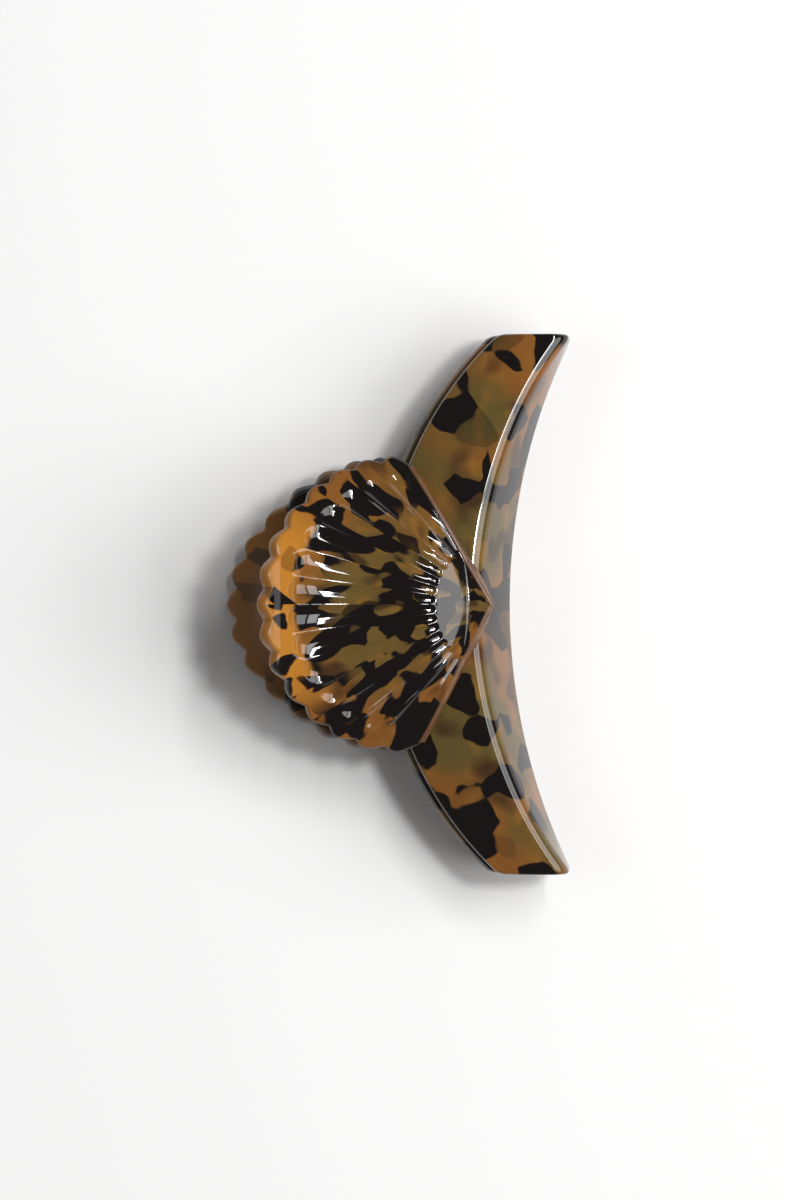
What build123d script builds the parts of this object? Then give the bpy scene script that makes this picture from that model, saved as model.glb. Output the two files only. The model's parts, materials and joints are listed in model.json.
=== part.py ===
from build123d import *
import os
from math import atan2, cos, degrees, hypot, pi, radians, sin, sqrt, tan

# Claw clip: two crescent jaws on one hinge pin, each with a scallop-shell thumb plate bonded to it.
# It is drawn closed, with the pin along Y through the origin, the teeth towards +X, the thumb plates
# towards -X and the upper half above Z = 0. The last step lays it down in its resting pose.

# Crescent jaws, mm
jaw_span = 100.0  # tip to tip, along Y
jaw_wall = 2.4
jaw_gap = 0.4  # between the two closed jaws where they meet
jaw_rounding = 0.9  # of the hinge-side edge
face_rounding = 25.0  # of the main face, along its middle
edge_x, edge_z = 0.1, 5.4  # hinge-side edge, at the middle
ridge_x, ridge_z = 17.2, 13.5  # highest line of the jaw, at the middle
bite_x = 25.5  # line where the closed jaws meet, at the middle
edge_sweep = 22.0  # how far the tips lie beyond the middle, towards +X, on each of the three lines
ridge_sweep = 17.6
bite_sweep = 11.7
ridge_drop = 5.0  # how much lower the ridge is at the tips
face_bulge = 0.8  # rise of the convex main face over its chord
ridge_radius = 3.0
foot_rounding = 0.4

# Teeth
tooth_pitch = 8.0
tooth_width = 3.2
tooth_count = 11  # on the upper jaw; the lower one has one fewer, half a pitch across
tooth_root, tooth_tip = 3.0, 1.6  # thickness
tooth_reach = 0.55  # of the room inside the other jaw
tooth_root_share = 0.5  # of the room inside its own jaw, as far as its root climbs the wall
tooth_gap = 0.6  # to the other jaw's wall

# Hinge
pin_diameter = 2.0
pin_clearance = 0.06  # radial, in the upper jaw's knuckles
knuckle_radius = 2.8
knuckle_width = 3.8
side_gap = 0.2  # between neighbouring knuckles
root_x, root_z, root_radius = 4.4, 4.7, 1.6  # where a knuckle's arm grows out of the jaw

# Torsion spring
wire = 1.1
coil_radius = 2.75  # to the middle of the wire
coil_turns = 7
coil_gap = 0.12  # between turns
leg_reach = 16.0  # how far each leg runs behind the pin
leg_gap = 0.1  # under the thumb plate
coil_room = 0.6  # all round the coil
joint_swell = 1.08  # of the wire's radius, where a leg leaves the coil

# Scallop-shell thumb plates
shell_wall = 2.4
tip_x, tip_z = 20.1, 15.75  # point of the V, over the ridge
crease_x, crease_z = 15.1, 14.9  # where the flat tip ends
dome_x, dome_z = 7.0, 17.15  # top of the dome
rim_x, rim_z = -24.3, 22.1  # middle of the thumb rim
dip = 0.9  # how much the saddle behind the dome sinks
flare_start = 15.0  # behind the dome
flare_power = 3.4
crown_drop = 10.14  # how much the plate falls from its middle line to its sides
v_half_angle = 61.0
lobe_count = 15
lobe_depth = 1.0
rim_radius = 27.8  # of the circle through the lobes, in plan
v_wall = 2.4
v_rounding = 1.2  # of the V's point
foot_drop = 1.2  # how far the V's wall reaches below the jaw's hinge-side edge

half_span = jaw_span / 2
tall = 60.0  # more than any piece's height


def swept(y, sweep):
    """How far a line of the jaw has moved towards +X at y: an arc that moves by sweep at the tips."""
    radius = (half_span**2 + sweep**2) / (2 * sweep)
    return radius - sqrt(radius**2 - y**2)


def bite(y):
    return bite_x + swept(y, bite_sweep)


def ridge(y):
    return ridge_x + swept(y, ridge_sweep), ridge_z - ridge_drop * (y / half_span) ** 2


def edge(y):
    return edge_x + swept(y, edge_sweep), edge_z


def shifted(point, direction, distance):
    return point[0] + direction[0] * distance, point[1] + direction[1] * distance


def jaw_lines(y):
    """The jaw's section at y: outer points, inner points and the wall's lean, as (x, z)."""
    start, top, foot = edge(y), ridge(y), (bite(y), jaw_gap / 2)
    chord = atan2(top[1] - start[1], top[0] - start[0])
    middle = ((start[0] + top[0]) / 2, (start[1] + top[1]) / 2)
    middle = shifted(middle, (-sin(chord), cos(chord)), face_bulge)
    lean = atan2(top[1] - foot[1], foot[0] - top[0])
    rise = atan2(middle[1] - start[1], middle[0] - start[0])
    fall = atan2(top[1] - middle[1], top[0] - middle[0])
    inner_start = shifted(start, (sin(rise), -cos(rise)), jaw_wall)
    inner_middle = shifted(middle, (sin((rise + fall) / 2), -cos((rise + fall) / 2)), jaw_wall)
    inner_foot = (foot[0] - jaw_wall / sin(lean), foot[1])
    # the inner ridge is where the two inner faces cross
    ahead = inner_foot[0] - inner_middle[0], inner_foot[1] - inner_middle[1]
    turn = cos(fall) * sin(lean) + sin(fall) * cos(lean)
    run = (ahead[0] * sin(lean) + ahead[1] * cos(lean)) / turn
    inner_top = shifted(inner_middle, (cos(fall), sin(fall)), run)
    return [start, middle, top, foot], [inner_foot, inner_top, inner_middle, inner_start], lean


def outline(y, side, points, radii):
    """A closed, rounded outline in the plane at y; side is 1 for the upper half and -1 for the lower."""
    with BuildSketch(Plane((0, y, 0), x_dir=(1, 0, 0), z_dir=(0, -1, 0))) as face:
        with BuildLine():
            FilletPolyline(*[(x, side * z) for x, z in points], radius=radii, close=True)
        make_face()
    return face.sketch


def stations(count):
    return [half_span * (2 * i / (count - 1) - 1) for i in range(count)]


def crescent(side):
    """The hollow crescent of one jaw."""
    sections = []
    for y in stations(11):
        outer, inner, _ = jaw_lines(y)
        front = [jaw_rounding, face_rounding, ridge_radius, foot_rounding]
        back = [foot_rounding, ridge_radius / 4, face_rounding, jaw_rounding]
        sections.append(outline(y, side, outer + inner, front + back))
    return loft(sections, mode=Mode.PRIVATE)


def crescent_core(side):
    """Everything under the crescent's outer face, for cutting what seats on it."""
    sections = []
    for y in stations(11):
        outer, _, _ = jaw_lines(y)
        points = [(outer[0][0], -tall)] + outer + [(outer[3][0], -tall)]
        sections.append(outline(y, side, points, [0, jaw_rounding, face_rounding, ridge_radius, 0, 0]))
    return loft(sections, mode=Mode.PRIVATE)


def tooth(y, side):
    """One tooth: it leaves the jaw's wall and follows the inside of the other jaw's wall."""
    outer, _, lean = jaw_lines(y)
    room = outer[2][1] - jaw_wall
    reach = tooth_reach * room
    slope = 1 / tan(lean)
    # the wall sweeps back across the tooth's width, so the gap is kept at its nearer side
    foot = bite(abs(y) - tooth_width / 2) - jaw_wall / sin(lean) - tooth_gap
    root = bite(y) - jaw_wall / sin(lean) / 2
    root_top = tooth_root_share * room
    points = [
        (root - root_top / 2 * slope, root_top / 2),
        (foot, 0),
        (foot - reach * slope, -reach),
        (foot - reach * slope - tooth_tip, -reach),
        (foot - tooth_root, 0),
        (root - root_top * slope, root_top),
    ]
    bend, end = tooth_root, 0.45 * tooth_tip
    section = outline(y, side, points, [0, bend, end, end, bend, 0])
    extrude(section, amount=tooth_width / 2, both=True)


def knuckle(y, side, bore):
    """A knuckle round the pin, with the arm that joins it to the jaw, between y and y + its width."""
    with BuildSketch(Plane((0, y, 0), x_dir=(1, 0, 0), z_dir=(0, -1, 0))) as face:
        Circle(knuckle_radius)
        with Locations((root_x, side * root_z)):
            Circle(root_radius)
        make_hull()
        Circle(bore / 2, mode=Mode.SUBTRACT)
    return extrude(face.sketch, amount=-knuckle_width, mode=Mode.PRIVATE)


coil_half = (coil_turns + 1) * (wire + coil_gap) / 2  # half the coil's length along Y
inner_knuckle = coil_half + coil_room
outer_knuckle = inner_knuckle + knuckle_width + side_gap
hinge_half = outer_knuckle + knuckle_width
running_bore = pin_diameter + 2 * pin_clearance


def coil_relief():
    """The room for the coil and its legs in the jaw's hinge-side edge."""
    with BuildSketch(Plane.XZ) as face:
        Circle(2 * coil_radius + coil_room)
    extrude(face.sketch, amount=inner_knuckle, both=True, mode=Mode.SUBTRACT)


def jaw(side, teeth, first_knuckle, bore):
    add(crescent(side))
    coil_relief()
    for y in [first_knuckle, -first_knuckle - knuckle_width]:
        add(knuckle(y, side, bore))
    for i in range(teeth):
        tooth(tooth_pitch * (i - (teeth - 1) / 2), side)


with BuildPart() as upper_jaw:
    jaw(1, tooth_count, inner_knuckle, running_bore)

with BuildPart() as lower_jaw:
    jaw(-1, tooth_count - 1, outer_knuckle, pin_diameter)


def centre_height(x):
    """The plate's outer height along its middle line."""
    if x > crease_x:
        return crease_z + (tip_z - crease_z) * (x - crease_x) / (tip_x - crease_x)
    if x > dome_x:
        return crease_z + (dome_z - crease_z) * sin(pi / 2 * (crease_x - x) / (crease_x - dome_x))
    behind = dome_x - x
    length = dome_x - rim_x
    height = dome_z - dip * sin(pi / 2 * min(behind / flare_start, 1)) ** 2
    if behind > flare_start:
        flare = rim_z - dome_z + dip
        height += flare * ((behind - flare_start) / (length - flare_start)) ** flare_power
    return height


crown_radius = (rim_radius**2 + crown_drop**2) / (2 * crown_drop)  # across the plate


def plate_height(x, y):
    return centre_height(x) - crown_radius + sqrt(crown_radius**2 - y**2)


def plate_point(x, y, depth):
    """A point of the plate's outer face, or depth below it along its normal."""
    step = 0.01
    slope_x = (plate_height(x + step, y) - plate_height(x - step, y)) / (2 * step)
    slope_y = (plate_height(x, y + step) - plate_height(x, y - step)) / (2 * step)
    size = hypot(hypot(slope_x, slope_y), 1)
    return (
        x + depth * slope_x / size,
        y + depth * slope_y / size,
        plate_height(x, y) - depth / size,
    )


def plate_face(depth):
    """The plate's outer face, or the face at this depth under it, wider than the plate."""
    margin, rows, columns = 5.0, 44, 24
    length = tip_x - rim_x + 2 * margin
    width = 2 * (rim_radius + 1.5 * margin)
    points = []
    for i in range(rows + 1):
        x = rim_x - margin + length * i / rows
        points.append([plate_point(x, width * (j / columns - 0.5), depth) for j in range(columns + 1)])
    return Face.make_surface_from_array_of_points(points, tol=0.02)


def below(depth, side):
    """Everything below the plate's outer face, or below depth under it."""
    block = extrude(plate_face(depth), amount=tall, dir=(0, 0, -1), mode=Mode.PRIVATE)
    return block if side > 0 else mirror(block, about=Plane.XY, mode=Mode.PRIVATE)


centre_offset = tip_x - rim_x - rim_radius  # from the V's point to the centre of the rim's circle
lobe_pitch = 2 * v_half_angle / lobe_count


def on_ray(angle, radius):
    """Where the ray from the V's point at this angle meets a circle about the rim's centre."""
    turn = radians(angle)
    reach = centre_offset * cos(turn) + sqrt(radius**2 - (centre_offset * sin(turn)) ** 2)
    return tip_x - reach * cos(turn), reach * sin(turn)


def scallop():
    """The plate in plan: two straight sides from the V's point, and the lobes of the rim."""
    notch_radius = rim_radius - lobe_depth
    notches = [on_ray(v_half_angle - lobe_pitch * i, notch_radius) for i in range(lobe_count + 1)]
    with BuildSketch() as face:
        with BuildLine():
            for i in range(lobe_count):
                crest = on_ray(v_half_angle - lobe_pitch * (i + 0.5), rim_radius)
                ThreePointArc(notches[i], crest, notches[i + 1])
            Polyline(notches[-1], (tip_x, 0), notches[0])
        make_face()
        fillet(face.vertices().sort_by(Axis.X)[-1], v_rounding)
    return face.sketch


def inside_v():
    """The plan of all that lies behind the V's wall."""
    turn = radians(v_half_angle)
    near = tip_x - v_wall / sin(turn)
    across, back = tall * sin(turn), near - tall * cos(turn)
    with BuildSketch() as face:
        with BuildLine():
            Polyline((near, 0), (back, across), (back - tall, across), (back - tall, -across),
                     (back, -across), close=True)
        make_face()
    return face.sketch


def v_foot(side):
    """The V's wall, from the plate down past the jaw's main face."""
    with BuildPart() as foot:
        extrude(scallop(), amount=tall, both=True)
        extrude(inside_v(), amount=tall, both=True, mode=Mode.SUBTRACT)
        add(below(0, side), mode=Mode.INTERSECT)
        with Locations((0, 0, side * (edge_z - foot_drop - tall))):
            Box(2 * tall, 2 * tall, 2 * tall, mode=Mode.SUBTRACT)
    return foot.part


def shell(side, foot):
    """A thumb plate: the domed, flared plate and the V-shaped wall, seated on the jaw's main face."""
    add(below(0, side))
    add(below(shell_wall, side), mode=Mode.SUBTRACT)
    extrude(scallop(), amount=tall, both=True, mode=Mode.INTERSECT)
    add(foot)
    add(crescent_core(side), mode=Mode.SUBTRACT)


upper_foot = v_foot(1)
lower_foot = v_foot(-1)

with BuildPart() as upper_shell:
    shell(1, upper_foot)

with BuildPart() as lower_shell:
    shell(-1, lower_foot)

with BuildPart() as hinge_pin:
    with BuildSketch(Plane.XZ) as face:
        Circle(pin_diameter / 2)
    extrude(face.sketch, amount=hinge_half, both=True)
    chamfer(hinge_pin.edges(), 0.3)

# Each leg leaves the coil along its tangent and ends just under its thumb plate.
coil_pitch = wire + coil_gap
under_plate = plate_point(-leg_reach, coil_half, shell_wall + wire / 2 + leg_gap)
leg_run = sqrt(under_plate[0] ** 2 + under_plate[2] ** 2 - coil_radius**2)
leg_rise = atan2(under_plate[2], -under_plate[0]) - atan2(coil_radius, leg_run)
coil_angle = 360 * coil_turns + 180 - 2 * degrees(leg_rise)
coil_length = coil_pitch * coil_angle / 360
leave_x, leave_z = coil_radius * sin(leg_rise), coil_radius * cos(leg_rise)

with BuildPart() as coil:
    with BuildLine() as turns:
        Helix(pitch=coil_pitch, height=coil_length, radius=coil_radius)
    with BuildSketch(Plane(turns.edge() @ 0, z_dir=turns.edge() % 0)) as section:
        Circle(wire / 2)
    sweep(section.sketch, path=turns.edge(), is_frenet=True)

with BuildPart() as torsion_spring:
    coil_start = Plane((0, -coil_length / 2, 0), x_dir=(leave_x, 0, leave_z), z_dir=(0, 1, 0))
    add(coil_start.location * coil.part)
    for side in [1, -1]:
        leave = Vector(leave_x, -side * coil_length / 2, side * leave_z)
        away = Vector(-cos(leg_rise), 0, side * sin(leg_rise))
        with BuildSketch(Plane(leave, z_dir=away)) as section:
            Circle(wire / 2)
        extrude(section.sketch, amount=leg_run)
        with Locations(leave):
            Sphere(joint_swell * wire / 2)


def resting_tilt():
    """The clip lies on one plate, on the V's point and on whatever it meets next behind it."""
    point_x = tip_x - v_rounding
    angles = []
    for i in range(200):
        x = crease_x - (crease_x - rim_x) * i / 199
        angles.append(atan2(plate_height(x, 0) - plate_height(point_x, 0), point_x - x))
    return degrees(max(angles))


# The resting pose: tilted, with the lowest point on Z = 0 and centred on the origin in plan.
tilt = resting_tilt()
pieces = [upper_jaw, lower_jaw, upper_shell, lower_shell, hinge_pin, torsion_spring]
tilted = Location((0, 0, 0), (0, tilt, 0))
box = Compound(children=[tilted * piece.part for piece in pieces]).bounding_box()
seat = Location((-box.center().X, -box.center().Y, -box.min.Z)) * tilted
for piece in pieces:
    piece.part.move(seat)

upper_jaw.part.label = "upper_jaw"
lower_jaw.part.label = "lower_jaw"
upper_shell.part.label = "upper_shell"
lower_shell.part.label = "lower_shell"
hinge_pin.part.label = "hinge_pin"
torsion_spring.part.label = "torsion_spring"

os.makedirs("parts", exist_ok=True)
export_step(upper_jaw.part, "parts/upper_jaw.step")
export_step(lower_jaw.part, "parts/lower_jaw.step")
export_step(upper_shell.part, "parts/upper_shell.step")
export_step(lower_shell.part, "parts/lower_shell.step")
export_step(hinge_pin.part, "parts/hinge_pin.step")
export_step(torsion_spring.part, "parts/torsion_spring.step")

print("tilt", round(tilt, 3), "degrees; hinge pin at", seat.position, "; overall", box.size)
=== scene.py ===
# %% [markdown]
# A claw clip lies on a pale table. It has two crescent jaws on one steel pin, a torsion spring, and a
# scallop-shell thumb plate on each jaw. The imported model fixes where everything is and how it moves.
# This lesson builds the surfaces that are seen, around that frame.

# %% Load the frame
import bmesh, bpy, json
import numpy as np
from math import atan2, cos, degrees, pi, radians, sin, sqrt, tan
from mathutils import Matrix, Vector


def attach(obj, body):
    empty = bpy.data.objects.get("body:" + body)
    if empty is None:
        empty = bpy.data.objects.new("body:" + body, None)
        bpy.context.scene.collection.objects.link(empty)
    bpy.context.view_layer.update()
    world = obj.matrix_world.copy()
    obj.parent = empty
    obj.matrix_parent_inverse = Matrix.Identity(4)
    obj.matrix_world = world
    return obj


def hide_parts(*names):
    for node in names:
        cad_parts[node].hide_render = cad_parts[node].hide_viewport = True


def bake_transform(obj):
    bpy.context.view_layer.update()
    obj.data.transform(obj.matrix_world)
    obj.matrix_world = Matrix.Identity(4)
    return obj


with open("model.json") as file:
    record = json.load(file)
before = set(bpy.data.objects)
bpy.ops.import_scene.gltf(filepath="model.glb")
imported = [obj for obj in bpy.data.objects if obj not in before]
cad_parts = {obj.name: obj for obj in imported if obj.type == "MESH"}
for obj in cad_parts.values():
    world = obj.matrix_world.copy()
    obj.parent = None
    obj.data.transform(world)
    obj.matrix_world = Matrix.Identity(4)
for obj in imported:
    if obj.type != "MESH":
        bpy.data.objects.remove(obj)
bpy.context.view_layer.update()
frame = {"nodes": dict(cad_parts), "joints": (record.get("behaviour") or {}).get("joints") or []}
hinge = frame["joints"][0]
pin_at = Vector(hinge["pos_m"])
MM = 0.001

# %% [markdown]
# Everything is easiest to draw with the clip closed and level: the pin through the origin, the teeth
# towards +X and the plates towards -X. Each half is the other's mirror image, so one function takes a
# side, 1 for the upper half and -1 for the lower. Sizes are in millimetres. Most are the frame's own. The
# plate's rim and lobes are a little apart from it, because the frame's plate has no rounded lip.

# %% Sizes of the clip, mm
SPAN, WALL, GAP = 100.0, 2.4, 0.4
EDGE, RIDGE, BITE = (0.1, 5.4), (17.2, 13.5), 25.5
SWEEP = {"edge": 22.0, "ridge": 17.6, "bite": 11.7}
RIDGE_DROP, FACE_BULGE, RIDGE_RADIUS = 5.0, 0.8, 3.0
TIP_REACH = 0.9  # how much further the ridge runs out at the very tips
JAW_ROUNDING, FOOT_ROUNDING, TIP_ROUNDING, EDGE_TIP_ROUNDING = 0.9, 0.45, 1.7, 1.0
TIP, CREASE, DOME, RIM = (20.1, 15.75), (15.1, 14.9), (7.0, 17.15), (-23.6, 22.4)
FRAME_RIM = (-24.3, 22.1)  # the frame's own rim, which gives the resting tilt
DIP, FLARE_START, FLARE_POWER, CROWN_DROP = 0.9, 15.0, 3.4, 10.14
V_ANGLE, LOBES, LOBE_DEPTH, RIM_RADIUS, V_ROUND = radians(61.0), 15, 1.15, 28.1, 1.2
CREASE_RADIUS = 42.0  # of the crease's arc, in plan
CROWN = (RIM_RADIUS**2 + CROWN_DROP**2) / (2 * CROWN_DROP)  # radius across the plate
TOOTH_PITCH, TOOTH_WIDTH, TOOTH_ROOT, TOOTH_TIP, TEETH = 8.0, 3.2, 3.0, 1.6, {1: 11, -1: 10}
TOOTH_REACH, TOOTH_ROOT_SHARE, TOOTH_GAP = 0.55, 0.5, 0.6
PIN, KNUCKLE_RADIUS, KNUCKLE_WIDTH, SIDE_GAP, RUNNING_BORE = 2.0, 2.8, 3.8, 0.2, 2.12
KNUCKLE_ROUNDING = 0.35
ARM, ARM_RADIUS = (4.4, 4.7), 1.6
WIRE, COIL_RADIUS, COIL_TURNS, COIL_GAP, LEG_REACH, COIL_ROOM = 1.1, 2.75, 7, 0.12, 16.0, 0.6
LEG_GAP = 0.1  # between a leg and the plate over it
COIL_HALF = (COIL_TURNS + 1) * (WIRE + COIL_GAP) / 2
INNER_KNUCKLE = COIL_HALF + COIL_ROOM
OUTER_KNUCKLE = INNER_KNUCKLE + KNUCKLE_WIDTH + SIDE_GAP
RELIEF = 2 * COIL_RADIUS + COIL_ROOM  # radius cleared round the coil
HALF = SPAN / 2
LOBE_PITCH = 2 * V_ANGLE / LOBES


# %% [markdown]
# The clip rests on one plate, tilted. The tilt follows from the plate's middle profile: a flat tip, a
# crease, a dome, a shallow saddle and a flare up to the thumb rim.

# %% The plate's profile and the resting tilt
def centre_height(x):
    """Outer height of the plate along its middle line, for an array of x."""
    x = np.asarray(x, float)
    flat = CREASE[1] + (TIP[1] - CREASE[1]) * (x - CREASE[0]) / (TIP[0] - CREASE[0])
    climb = np.clip((CREASE[0] - x) / (CREASE[0] - DOME[0]), 0, 1)
    rise = CREASE[1] + (DOME[1] - CREASE[1]) * np.sin(pi / 2 * climb)
    behind = np.maximum(DOME[0] - x, 0)
    saddle = DOME[1] - DIP * np.sin(pi / 2 * np.minimum(behind / FLARE_START, 1)) ** 2
    length = DOME[0] - RIM[0] - FLARE_START
    flare = (RIM[1] - DOME[1] + DIP) * (np.maximum(behind - FLARE_START, 0) / length) ** FLARE_POWER
    return np.where(x > CREASE[0], flat, np.where(x > DOME[0], rise, saddle + flare))


def plate_height(x, y):
    x, y = np.asarray(x, float), np.asarray(y, float)
    near_crease = np.clip((x - DOME[0]) / (CREASE[0] - DOME[0]), 0, 1)
    bowed = x + near_crease * y**2 / (2 * CREASE_RADIUS)
    return centre_height(bowed) - CROWN + np.sqrt(CROWN**2 - y**2)


point_x = TIP[0] - V_ROUND
tilt = atan2(FRAME_RIM[1] - float(plate_height(point_x, 0)), point_x - FRAME_RIM[0])
print("resting tilt", round(degrees(tilt), 2), "degrees")


# %% [markdown]
# `settle` carries points from the level drawing to the resting pose, in metres. `solid` makes a mesh
# object from them. Its object stays at the origin, as the frame's own nodes do.

# %% Helpers that place points and make pieces
def settle(points):
    """Level drawing, mm, to resting pose, m."""
    p = np.asarray(points, float)
    x = p[:, 0] * cos(tilt) + p[:, 2] * sin(tilt)
    z = -p[:, 0] * sin(tilt) + p[:, 2] * cos(tilt)
    return np.stack([x, p[:, 1], z], 1) * MM + np.array(pin_at)


def solid(name, points, faces, flip=False):
    mesh = bpy.data.meshes.new(name)
    if flip:
        faces = [tuple(reversed(f)) for f in faces]
    mesh.from_pydata(settle(points).tolist(), [], faces)
    mesh.validate()
    mesh.polygons.foreach_set("use_smooth", [True] * len(mesh.polygons))
    piece = bpy.data.objects.new(name, mesh)
    bpy.context.scene.collection.objects.link(piece)
    return piece


def number(mesh, name, values):
    """Store one number for each point, for a modifier or a material to read."""
    layer = mesh.attributes.new(name, "FLOAT", "POINT")
    layer.data.foreach_set("value", np.asarray(values, np.float32))


def grid_faces(rows, columns, start=0, closed=False):
    """Quads between neighbouring rows of points; closed joins the last column to the first."""
    faces = []
    for i in range(rows - 1):
        for j in range(columns if closed else columns - 1):
            k = (j + 1) % columns
            a, b = start + i * columns, start + (i + 1) * columns
            faces.append((a + j, a + k, b + k, b + j))
    return faces


# %% [markdown]
# A thumb plate is a patch with four sides: the rounded point of the V, its two straight sides and the
# lobed rim. Rays fan out from the point to the rim, so the flutes can run exactly along them. The outer
# face and the inner face have the same layout, and rings of points round their edges join them: a
# half-round lip on the rim, and a wall down to the jaw along the V.

# %% Plan of the plate
RAYS, STEPS = LOBES * 18, 150
LIP = 0.8  # how far the rim's rounded edge stands out
BEAD = 0.3  # how far the V's rounded edge stands proud
V_LIP = 1.15  # radius at the top of the V's wall
NOTCH_TIGHTNESS = 0.8  # under 1 makes the rim's notches tighter than its crests


def rim_reach(angle, radius):
    """Distance from the point of the V to the rim's circle along a ray."""
    offset = TIP[0] - RIM[0] - RIM_RADIUS
    return offset * np.cos(angle) + np.sqrt(radius**2 - (offset * np.sin(angle)) ** 2)


def lobe(angle):
    """1 on a lobe's crest, 0 in the notch beside it."""
    wave = 0.5 + 0.5 * np.cos(2 * pi * angle / LOBE_PITCH)
    return wave**NOTCH_TIGHTNESS


def plan(inset_v, inset_rim):
    """Plan points of the patch, [ray, step, 2], with its V and its rim moved in."""
    angle = np.linspace(-V_ANGLE, V_ANGLE, RAYS + 1)
    side = np.array([sin(V_ANGLE), cos(V_ANGLE)])
    rounding = max(V_ROUND - inset_v, 0.05)
    hub = TIP[0] - V_ROUND / sin(V_ANGLE)
    turn = angle / V_ANGLE * (pi / 2 - V_ANGLE)
    near = np.stack([hub + rounding * np.cos(turn), rounding * np.sin(turn)], 1)
    reach = rim_reach(angle, RIM_RADIUS - LOBE_DEPTH) + LOBE_DEPTH * lobe(angle) - inset_rim
    far = np.stack([TIP[0] - reach * np.cos(angle), reach * np.sin(angle)], 1)
    shift = np.sign(angle) * (np.abs(angle) / V_ANGLE) ** 12 * inset_v  # of the rays next to the V only
    far -= shift[:, None] * side
    t = np.linspace(0, 1, STEPS + 1)
    return near[:, None] + (far - near)[:, None] * t[None, :, None]


def base_normal(x, y):
    """The way straight out of the plate's smooth surface."""
    step = 0.01
    dx = (plate_height(x + step, y) - plate_height(x - step, y)) / (2 * step)
    dy = (plate_height(x, y + step) - plate_height(x, y - step)) / (2 * step)
    n = np.stack([-dx, -dy, np.ones_like(dx)], -1)
    return n / np.linalg.norm(n, axis=-1, keepdims=True)


# %% [markdown]
# The V's wall stands on the jaw, so it has to know how high the jaw is beneath it. Three lines describe a
# jaw: its hinge-side edge, its ridge and the bite. Each bows forward towards the tips.

# %% Where the jaw's surface is
def jaw_lines(y):
    """The jaw's section at y: the hinge-side edge, the ridge and the bite, as (x, z)."""
    def swept(sweep):
        radius = (HALF**2 + sweep**2) / (2 * sweep)
        return radius - sqrt(max(radius**2 - y**2, 0))

    start = (EDGE[0] + swept(SWEEP["edge"]), EDGE[1])
    top = (RIDGE[0] + swept(SWEEP["ridge"]) + TIP_REACH * (y / HALF) ** 8,
           RIDGE[1] - RIDGE_DROP * (y / HALF) ** 2)
    foot = (BITE + swept(SWEEP["bite"]), GAP / 2)
    return start, top, foot


def jaw_height(x, y):
    """How high the jaw's outer face stands at a plan point, or its hinge-side edge beyond it."""
    start, top, foot = jaw_lines(y)
    if x <= top[0]:
        t = min(max((x - start[0]) / (top[0] - start[0]), 0), 1)
        return start[1] + (top[1] - start[1]) * t + 4 * FACE_BULGE * t * (1 - t)
    return top[1] - (top[1] - foot[1]) * (x - top[0]) / (foot[0] - top[0])


# %% [markdown]
# The rings round the edge do two jobs at once. On the rim they make half a turn, down to the inner face.
# Along the V they make a quarter turn, go down to the jaw, sink into it slightly and come back up inside.
# A share, 1 along the V and 0 on the rim, mixes the two.

# %% The rings round a plate's edge
LIP_STEPS = 9
LIP_SQUARENESS = 0.45  # under 1 makes the lip fuller than a half circle
FOOT_LEAN, FOOT_OVERLAP, FOOT_SINK = 0.5, 0.05, 0.35  # of the V's wall, where it meets the jaw
FOOT_INSIDE = 1.4  # how far inside the edge the wall comes back up


def loop_of(rows, columns):
    """Indices round the patch's edge: the point, one side, the rim, the other side."""
    front = [(i, 0) for i in range(rows)]
    right = [(rows - 1, j) for j in range(1, columns)]
    back = [(i, columns - 1) for i in range(rows - 2, -1, -1)]
    left = [(0, j) for j in range(columns - 2, 0, -1)]
    return front + right + back + left


def share_on_v(i, j, rows, columns):
    """1 along the V and 0 on the rim, changing over the last three steps."""
    if i in (0, rows - 1) or j == 0:
        return min((columns - 1 - j) / 3, 1.0)
    return 0.0


def edge_ways(outer, normal, edge):
    """The edge's points and, at each, the face's normal, the way out along the face and the level way out."""
    at = np.array([outer[i, j] for i, j in edge])
    up = np.array([normal[i, j] for i, j in edge])
    out = np.cross(np.roll(at, -1, 0) - np.roll(at, 1, 0), up)
    out /= np.linalg.norm(out, axis=1, keepdims=True)
    if (out * (at - outer.mean((0, 1)))).sum() < 0:
        out = -out
    level = out * np.array([1, 1, 0])
    level /= np.linalg.norm(level, axis=1, keepdims=True)
    return at, up, out, level


def edge_rings(at, up, out, level, below, on_v):
    """Rings of points from the outer face's edge to the inner face's."""
    def either(rim, wall):
        return rim * (1 - on_v)[:, None] + wall * on_v[:, None]

    rings = []
    for k in range(1, LIP_STEPS):
        a = pi * k / LIP_STEPS
        rim = at + out * LIP * sin(a) ** LIP_SQUARENESS - up * WALL / 2 * (1 - cos(a))
        lift = BEAD * sin(a) - V_LIP * (1 - cos(a / 2))
        wall = at + level * V_LIP * sin(a / 2) + np.array([0, 0, lift])
        rings.append(either(rim, wall))
    rim = rings[-1]
    foot = np.array([jaw_height(p[0], p[1]) if v > 0 else 0 for p, v in zip(at, on_v)])
    for share, sink in ((0.5, 0), (1.0, 0), (1.0, FOOT_SINK)):
        wall = at + level * (V_LIP + FOOT_LEAN * share)
        wall[:, 2] = (1 - share) * (at[:, 2] - V_LIP) + share * (foot - FOOT_OVERLAP - sink)
        rings.append(either(rim, wall))
    low = at - level * FOOT_INSIDE
    low[:, 2] = foot - FOOT_OVERLAP - FOOT_SINK
    rings.append(either(below + out * FOOT_OVERLAP, low))
    return rings


# %% [markdown]
# Now the plate itself. It keeps a few numbers at each point, for the flutes and the material to read: the
# ray's angle, the distance along it, the distance at which the ray meets the rim, and whether the point
# is on the outer face or on the bead round the V.

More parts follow.
